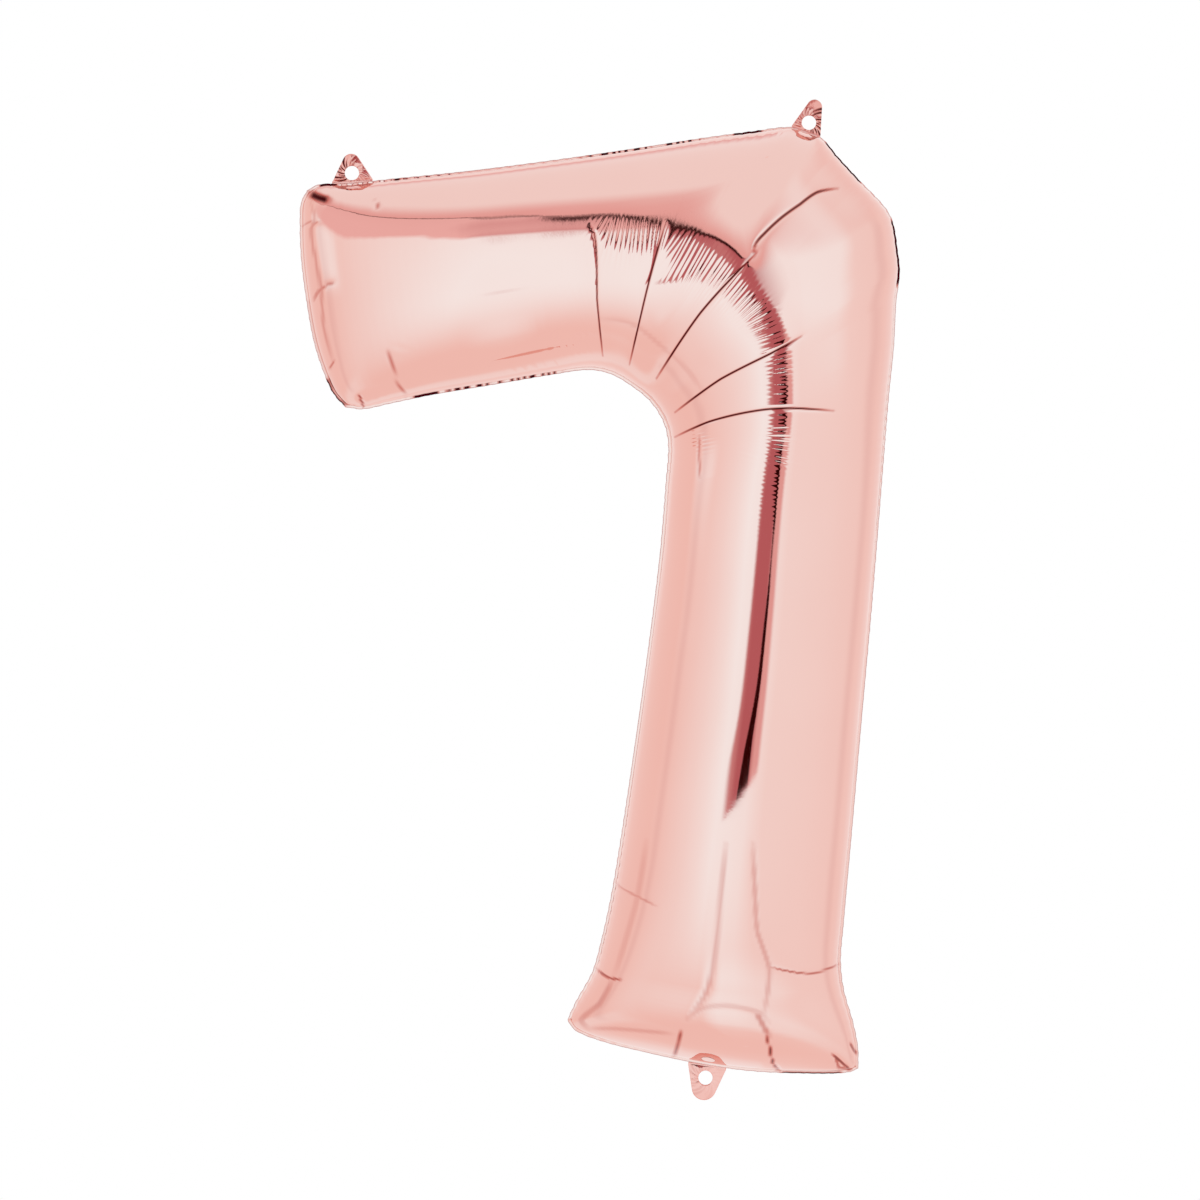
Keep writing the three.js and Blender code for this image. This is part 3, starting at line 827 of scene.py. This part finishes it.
def tapered_strip(half_widths, start, length, corner, ribs=90, rows=26):
    """A grid along a strip that runs inwards from start and widens from the first to the second of
    half_widths over its first quarter, with round corners at its far end."""
    s = np.linspace(0, length, ribs)
    width = half_widths[0] + (half_widths[1] - half_widths[0]) * smoothstep(0, length * 0.27, s)
    cut = np.clip(s - (length - corner), 0, corner)
    width = width - corner + np.sqrt(corner**2 - cut**2)
    across = np.linspace(-1, 1, rows)[None, :] * width[:, None]
    return np.stack([across, np.broadcast_to(start - s[:, None], across.shape)], -1)


def thin_solid(hinge, flat, low, high, closed):
    """Vertices and faces of a sheet over flat, a grid of [across, out] places, that fills low to high in
    depth. In a closed grid the last column meets the first."""
    n, m = flat.shape[:2]
    places = placed(hinge, flat)
    shells = [
        np.stack([places[..., 0], np.broadcast_to(depth, (n, m)), places[..., 1]], -1).reshape(-1, 3)
        for depth in (low, high)
    ]
    ids = np.arange(n * m).reshape(n, m)
    if closed:
        ids = np.hstack([ids, ids[:, :1]])
        borders = [ids[0], ids[-1, ::-1]]
    else:
        borders = [np.concatenate([ids[0], ids[1:, -1], ids[-1, -2::-1], ids[-2::-1, 0]])]
    quads = np.stack([ids[:-1, :-1], ids[1:, :-1], ids[1:, 1:], ids[:-1, 1:]], -1).reshape(-1, 4)
    walls = [np.stack([b[:-1], b[1:], b[1:] + n * m, b[:-1] + n * m], -1) for b in borders]
    return np.vstack(shells), np.vstack([quads, quads[:, ::-1] + n * m, *walls])


def joined(name, solids, material):
    """One piece made of several solids."""
    vertices, faces, count = [], [], 0
    for solid_vertices, solid_faces in solids:
        vertices.append(solid_vertices)
        faces.append(solid_faces + count)
        count += len(solid_vertices)
    piece = mesh_object(name, np.vstack(vertices), np.vstack(faces), material)
    shape = bmesh.new()
    shape.from_mesh(piece.data)
    bmesh.ops.recalc_face_normals(shape, faces=shape.faces)
    shape.to_mesh(piece.data)
    shape.free()
    return piece


def tab(name, hinge, outline, hole, gap, amount, dark, material):
    """Two plies with the given gap on each side of the middle plane, fused round their border. dark is
    the least and most painted shade of the streaks and the side where it is deepest."""
    flat = punched(outline, hole)
    shade = streaks(flat, hole, *dark)
    relief = crumple(flat, amount) - STREAK_DEPTH * shade * smoothstep(0, 3, flat[..., 1])
    press = pinch(flat[..., 1], gap + PLY)
    roll = EDGE_ROLL * np.cos(np.linspace(-math.pi / 2, math.pi / 2, len(flat)))[:, None]
    outside = (gap + PLY - EDGE_ROLL + roll) * press
    front_ply = thin_solid(hinge, flat, relief - outside, relief - gap * press, True)
    back_ply = thin_solid(hinge, flat, relief + gap * press, relief + outside, True)
    to_border = np.hypot(*np.moveaxis(flat - flat[-1], -1, 0)).min(axis=1)
    rim = to_border <= WELD_WIDTH
    weld = thin_solid(hinge, flat[rim], (relief - gap * press)[rim], (relief + gap * press)[rim], True)
    piece = joined(name, [front_ply, back_ply, weld], material)
    # Painted shade of the streaks, on both plies and the weld.
    set_shade(piece, np.concatenate([np.tile(shade.ravel(), 4), np.tile(shade[rim].ravel(), 2)]))
    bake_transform(piece)
    return piece


def film(name, flat, depth, wave, amount, side, material, closed=False):
    """One film of the valve. depth is (inner, outer) distance from the middle plane, on the given side;
    the film lifts away from the plane by up to wave and follows the crumpling of the tail."""
    across, out = flat[..., 0], flat[..., 1]
    lift = wave * (1 + np.sin(out / 9 + 0.4 * np.sin(across / 5))) * smoothstep(0, 30, FREE_START - out)
    press = pinch(out, TAIL_GAP + PLY)
    inner = crumple(flat, amount) + side * (depth[0] * press + lift)
    outer = crumple(flat, amount) + side * (depth[1] * press + lift)
    return joined(name, [thin_solid(TAIL, flat, inner, outer, closed)], material)


TAB_GAP = 0.05  # from the middle plane to a tab's plies
TAIL_GAP = 0.45  # and to the tail's, which leaves room for the valve
TAIL_CRUMPLE = 0.03
FILM_DEPTH = (0.12, 0.42)  # inner and outer distance of a valve film from the middle plane
FREE_START = -8.7  # where the valve's free stretch starts, inside the balloon

upper_left = tab(
    "upper_left_tab", UPPER_LEFT, tab_outline(17.6, 15.8, 7.5), UPPER_LEFT_HOLE, TAB_GAP, 0.15,
    (0.08, 1.0, -1), tab_foil,
)
upper_right = tab(
    "upper_right_tab", UPPER_RIGHT, tab_outline(13, 21.3, 6.5), UPPER_RIGHT_HOLE, TAB_GAP, 0.10,
    (0.1, 1.0, 1), tab_foil,
)
tail = tab(
    "tail", TAIL, tab_outline(16.5, 18.3, 10.5), TAIL_HOLE, TAIL_GAP, TAIL_CRUMPLE,
    (0.03, 0.2, 1), tab_foil,
)
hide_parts("upper_left_tab_front_ply", "upper_left_tab_back_ply", "upper_left_tab_weld")
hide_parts("upper_right_tab_front_ply", "upper_right_tab_back_ply", "upper_right_tab_weld")
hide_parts("tail_front_ply", "tail_back_ply", "tail_weld_left", "tail_weld_right")

tail_strip = punched(rounded_strip(9, 0, 21, 5), TAIL_HOLE)
neck_strip = tapered_strip((9, 9), -1.5, 6.9, 0.5, ribs=14)
print_strip = tapered_strip((7, 7), -1.5, 6.9, 0.5, ribs=14)
free_strip = tapered_strip((9, 23), FREE_START, 125, 8)
for end, side in (("front", -1), ("back", 1)):
    for name, flat, wave, amount, body in (
        ("tail_film", tail_strip, 0, TAIL_CRUMPLE, "tail"),
        ("valve_neck", neck_strip, 0, 0, "envelope"),
        ("valve_film", free_strip, 0.3, 0, "valve_" + end),
    ):
        piece = film(
            f"{name}_{end}_visual", flat, FILM_DEPTH, wave, amount, side, clear_film,
            closed=flat is tail_strip,
        )
        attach(piece, body)
        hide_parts(f"{name}_{end}")
release = film("release_ink", print_strip, (-0.05, 0.05), 0, 0, 1, release_ink)
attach(release, "envelope")
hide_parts("valve_release_print")

# ---- Studio ----

# The foil mirrors a light tent, a sphere whose inner side glows. Directions from its centre are azimuth
# and elevation in degrees: azimuth 0 faces the digit's front and grows towards +X.
TENT_RADIUS = 1.5
TENT_CENTRE = (-0.05, 0.0, -0.40)


def emission(name):
    """Fabric that glows in the colours stored on its mesh."""
    material = bpy.data.materials.new(name)
    material.use_nodes = True
    tree = material.node_tree
    tree.nodes.clear()
    light = add_node(tree, "ShaderNodeAttribute", attribute_name="light")
    glow = add_node(tree, "ShaderNodeEmission", {"Color": light.outputs["Color"]})
    out = add_node(tree, "ShaderNodeOutputMaterial")
    tree.links.new(glow.outputs["Emission"], out.inputs["Surface"])
    material.cycles.emission_sampling = "NONE"
    return material


# Light that the tent's walls send to the foil.
PINK = (0.99, 0.90, 0.88)
CREAM = (1.05, 1.47, 1.58)
ROSE = (0.52, 0.18, 0.21)
PALE_ROSE = (0.84, 0.56, 0.57)
LIGHT_ROSE = (0.93, 0.71, 0.72)
CEILING_SHADE = (0.88, 0.60, 0.60)
CEILING = (1.0, 1.10, 1.13)
BLACK = (0.03, 0.002, 0.002)

# Edge of the tent's ceiling as (azimuth, elevation). It dips over the opening in front.
CEILING_EDGE = [
    (-180, 45), (-100, 46), (-76, 49.5), (-61, 51.8), (-46, 54), (-35, 56.2), (-30.4, 53), (-27, 48.5),
    (-22, 38.5), (-17.6, 30.7), (-11, 22.8), (-5, 17.3), (0, 15.5), (4, 18), (15, 29), (31, 38),
    (49, 46), (78, 52), (108, 50), (180, 45),
]


def between(low, high, value, soft):
    """1 from low to high and 0 outside, over soft degrees at both ends."""
    return smoothstep(low - soft, low + soft, value) * (1 - smoothstep(high - soft, high + soft, value))


def profile(place, *pairs):
    """Values at places along the line through the (place, value) pairs."""
    return np.interp(place, *zip(*pairs))


def mixed(colour, other, share):
    """The first colour with a share of the other in it, direction by direction."""
    return np.asarray(colour) + (np.asarray(other) - colour) * share[..., None]


def wall_light(az, el):
    """Pink fabric with cream light on it, strongest beside the opening in front. Its seams are rosy."""
    cream = profile(
        az, (-180, 0.05), (-125, 0.03), (-96, 0.0), (-77, 0.1), (-61, 0.27), (-47, 0.43), (-34, 0.65),
        (-21, 0.96), (4, 0.8), (12, 0.6), (20, 0.44), (37, 0.42), (64, 0.37), (98, 0.26), (121, 0.09),
        (180, 0.05),
    )
    lowest = profile(az, (-90, -84), (-60, -84), (-50, -64), (-18, -64), (-10, -84))
    cream *= smoothstep(lowest, 0, el)
    cream += 0.42 * between(13, 66, az, 12) * smoothstep(-5, 11, el)
    cream += 0.5 * between(-90, -68, az, 6) * between(8, 28, el, 5)
    from_floor = profile(
        az, (-100, 0.3), (-70, 0.2), (-58, 0), (-16, 0), (-6, 0.35), (40, 0.3), (80, 0.1)
    )
    cream += from_floor * between(-57, -34, el, 7)
    seams = np.maximum(between(-87, -79, az, 4), between(106, 118, az, 6)) * between(-45, 40, el, 10)
    return mixed(mixed(PINK, CREAM, np.clip(cream, 0, 1)), ROSE, 0.12 * seams)


def with_strip(colour, az, above):
    """A rose strip hangs from the ceiling's edge, from which above is measured. It turns deeper towards
    the opening and ends there."""
    border = 3
    depth = profile(
        az, (-110, 26), (-78, 22), (-60, 24), (-42, 18), (-32, 16.5), (-27, 11), (-25, 5.5), (-23, 7),
        (-20, 8), (-14, 14), (-8, 16),
    )
    strength = profile(
        az, (-90, 0), (-78, 0.95), (-4, 1), (0, 0.7), (4, 0.45), (8, 0.25), (12, 0.08), (16, 0)
    )
    deep = profile(az, (-50, 0.05), (-33, 0.05), (-29.6, 0.45), (-26, 0.35), (-23, 1))
    fade = profile(az, (-27, 9), (-23, 60))
    deep *= np.clip(1 + above / fade, 0, 1)
    strip = mixed(LIGHT_ROSE, ROSE, deep)
    return mixed(colour, strip, strength * np.clip((above + depth) / border, 0, 1))


def with_opening(colour, az, el):
    """The opening in front, with a dark core."""
    left = profile(el, (-9, -13), (-4, -14.3), (-2, -12.5), (1.5, -10), (6, -10), (12, -12))
    left_soft = profile(el, (-5, 4), (-2, 2))
    right = profile(el, (-9, 11.5), (0, 10.5), (4, 2), (12, -1))
    sill = el + 7.4 + 0.02 * az
    opening = smoothstep(left - left_soft, left + 2, az) * (1 - smoothstep(right - 2, right + 2, az))
    opening *= smoothstep(-0.2, 0.2, sill)
    inside = mixed(ROSE, PALE_ROSE, smoothstep(2, 7, az))
    inside = mixed(inside, PALE_ROSE, 0.4 * (1 - smoothstep(-13, -7, az)))
    colour = mixed(colour, inside, opening)

    middle = profile(el, (-9, -2.5), (-8, -1.5), (-5, 0), (-3, 2.5), (-1, 4.5))
    half = profile(el, (-8, 5.0), (-5, 3.2), (-1, 1.2), (0, 0))
    core = 1 - smoothstep(half - 0.3, half + 0.3, np.abs(az - middle))
    return mixed(colour, BLACK, core * smoothstep(0, 0.3, half) * smoothstep(-0.1, 0.1, sill - 0.2))


def with_ceiling(colour, az, above):
    """The ceiling, and the dark gap along its edge."""
    reach = profile(az, (-110, 12), (-45, 15), (-28, 17), (2, 18), (20, 14), (50, 4))
    blur = profile(az, (-2, 0.3), (12, 4), (50, 12))
    ceiling = mixed(CEILING_SHADE, CEILING, smoothstep(-blur, reach, above))
    colour = mixed(colour, ceiling, smoothstep(-blur, blur, above))

    slope = (profile(az + 1, *CEILING_EDGE) - profile(az - 1, *CEILING_EDGE)) / 2
    away = np.abs(above) / np.hypot(1, slope)
    gap = profile(
        az, (-110, 0), (-75, 0.35), (-38, 0.3), (-31, 0.15), (-28.5, 0.45), (-6, 0.75), (0, 0)
    )
    darkness = profile(
        az, (-110, 0), (-60, 0.75), (-35, 0.7), (-30.5, 0.7), (-28.5, 1), (-5, 1), (0, 0)
    )
    return mixed(colour, BLACK, darkness * (1 - smoothstep(gap * 0.7, gap * 1.3 + 0.1, away)))


def tent_light(az, el):
    """Colour of the tent in the direction (azimuth, elevation)."""
    above = el - profile(az, *CEILING_EDGE)
    colour = with_strip(wall_light(az, el), az, above)
    return with_ceiling(with_opening(colour, az, el), az, above)


def spaced(*stops):
    """Values from the first stop to before the last, each stop (value, step to the next stop)."""
    return np.concatenate([np.arange(a, b, step) for (a, step), (b, _) in zip(stops, stops[1:])])


def light_tent():
    """The tent's sphere, with its light stored on its points, which are closest where the light changes
    most."""
    around = np.radians(spaced((-85, 0.4), (40, 1.2), (275, 1.2)))
    up = np.radians(spaced((-89.5, 1), (-12, 0.15), (-6, 0.5), (10, 0.35), (62, 1), (89.5, 1)))
    az, el = np.meshgrid(around, up, indexing="ij")
    points = np.stack([np.sin(az) * np.cos(el), -np.cos(az) * np.cos(el), np.sin(el)], -1)
    vertices = (np.array(TENT_CENTRE) + TENT_RADIUS * points.reshape(-1, 3)) / MM
    n, m = az.shape
    ids = np.arange(n * m).reshape(n, m)
    nxt = np.roll(ids, -1, axis=0)
    faces = np.stack([ids[:, :-1], ids[:, 1:], nxt[:, 1:], nxt[:, :-1]], -1).reshape(-1, 4)
    tent = mesh_object("light_tent", vertices, faces, emission("tent_fabric"))
    degrees = (np.degrees(az) + 180) % 360 - 180
    light = np.ones((n * m, 4), np.float32)
    light[:, :3] = tent_light(degrees, np.degrees(el)).reshape(-1, 3)
    attribute = tent.data.attributes.new("light", "FLOAT_COLOR", "POINT")
    attribute.data.foreach_set("color", light.ravel())
    tent.visible_camera = False
    tent.visible_shadow = False
    return tent


CAMERA_PLACE = (-0.1804, -6, -0.412)  # six metres in front of the digit, level with its middle
CAMERA_LENS = 208.56
CAMERA_FILM = 36  # width, in millimetres like the lens
CAMERA_RANGE = (0.1, 100)


def camera():
    data = bpy.data.cameras.new("camera")
    data.sensor_width = CAMERA_FILM
    data.lens = CAMERA_LENS
    data.clip_start, data.clip_end = CAMERA_RANGE
    made = bpy.data.objects.new("camera", data)
    made.location = CAMERA_PLACE
    made.rotation_euler = (math.pi / 2, 0, 0)
    bpy.context.scene.collection.objects.link(made)
    bpy.context.scene.camera = made


def floor():
    """A pale paper floor below the digit, which hangs clear of it."""
    half, middle, height = 1200, -100, -1045
    signs = ((-1, -1), (1, -1), (1, 1), (-1, 1))
    corners = [(middle + half * a, half * b, height) for a, b in signs]
    paper = procedural(
        "studio_floor", (0.80, 0.79, 0.78), (0.84, 0.83, 0.82), 3, (0.6, 0.8), (0.01, 0.0001)
    )
    return mesh_object("studio_floor", corners, [(0, 1, 2, 3)], paper, smooth=False)


studio_floor = floor()
studio_floor.visible_glossy = False
light_tent()
camera()
scene = bpy.context.scene
scene.view_settings.view_transform = "Standard"
world = bpy.data.worlds.new("studio")
world.use_nodes = True
world.node_tree.nodes["Background"].inputs["Color"].default_value = (1, 1, 1, 1)
scene.world = world
